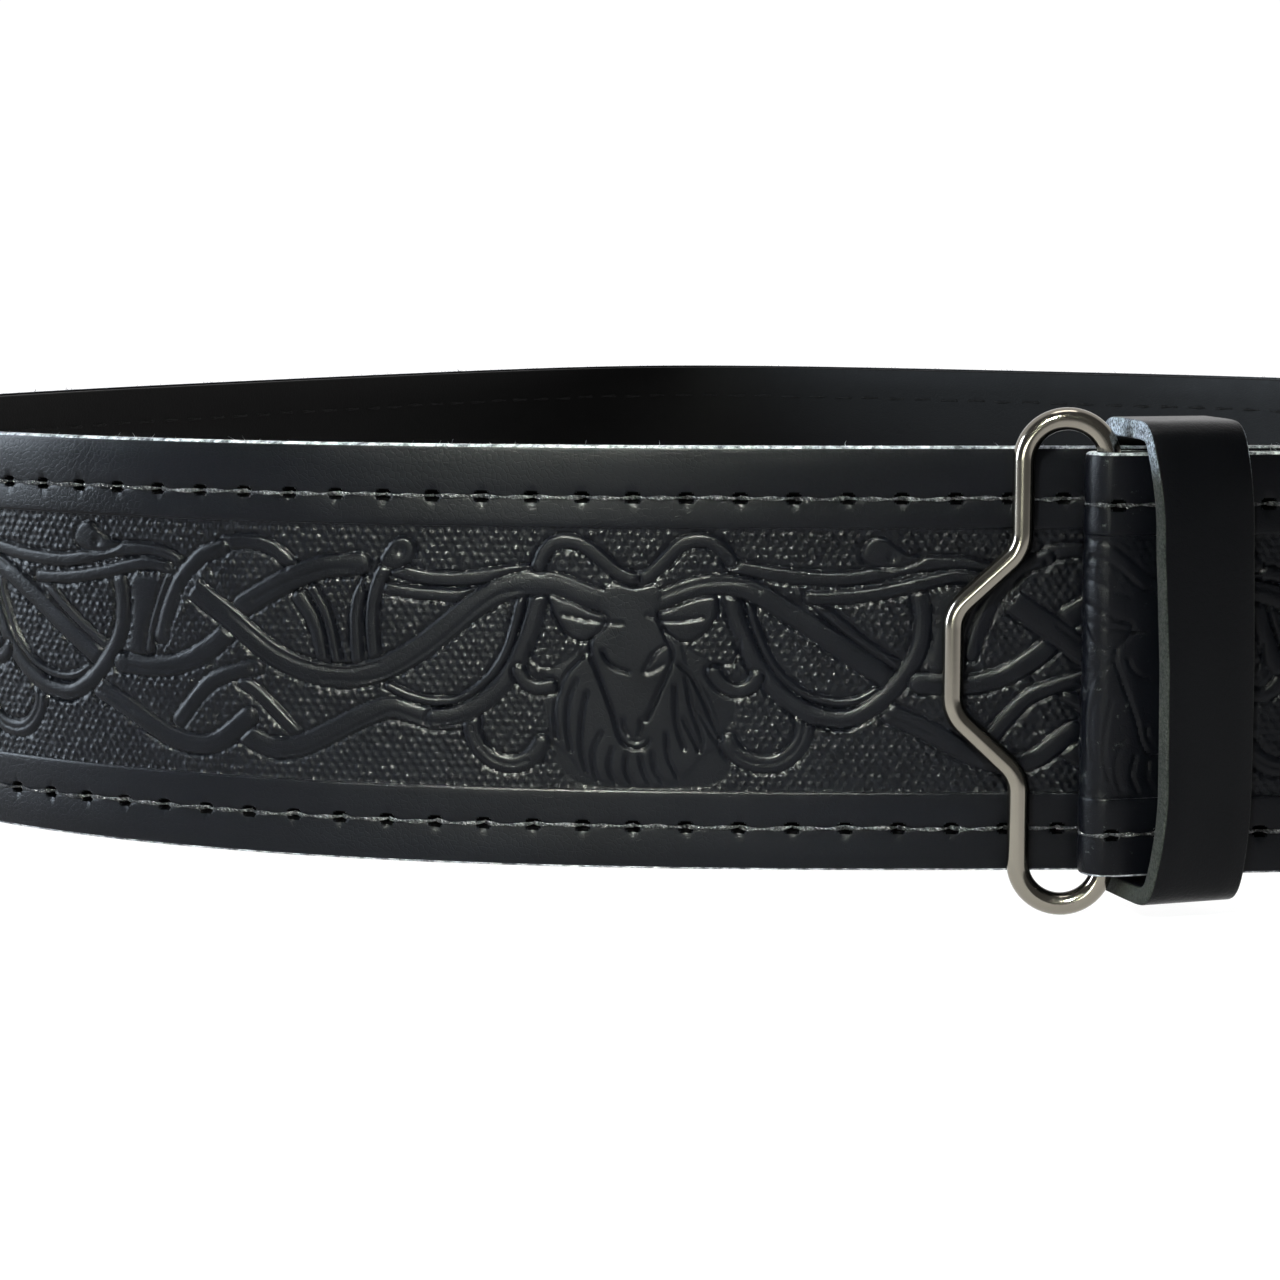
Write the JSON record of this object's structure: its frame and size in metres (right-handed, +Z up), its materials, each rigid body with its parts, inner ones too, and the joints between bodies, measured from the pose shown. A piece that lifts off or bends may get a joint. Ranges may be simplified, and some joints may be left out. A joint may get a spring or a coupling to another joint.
{
  "type": "kilt belt",
  "caption": "Wide embossed leather belt closed into a loop, with a bent wire loop at its turned end and a loose leather keeper.",
  "frame": {"origin": "on the table under the middle of the belt's box", "axes": "+Z up, the front with the wire loop towards -Y, +X to the right seen from the front"},
  "size_m": [0.3156, 0.3184, 0.0676],
  "materials": {
    "embossed_leather": "black, embossed, half gloss",
    "lining_leather": "black, smooth, dull",
    "nickel_wire": "polished nickel plate",
    "keeper_leather": "black, smooth, half gloss, raw grey cut edges"
  },
  "bodies": {
    "strap": {"strap_face": "embossed_leather", "strap_lining": "lining_leather", "keeper": "keeper_leather"},
    "loop": {"wire_loop": "nickel_wire"}
  },
  "joints": [
    {"name": "loop_swing", "type": "hinge", "parent": "strap", "child": "loop", "pos_m": [0.03702, -0.14983, 0.00001], "axis": [0, 0.0172, 0.9999], "range_deg": [0, 110]}
  ]
}
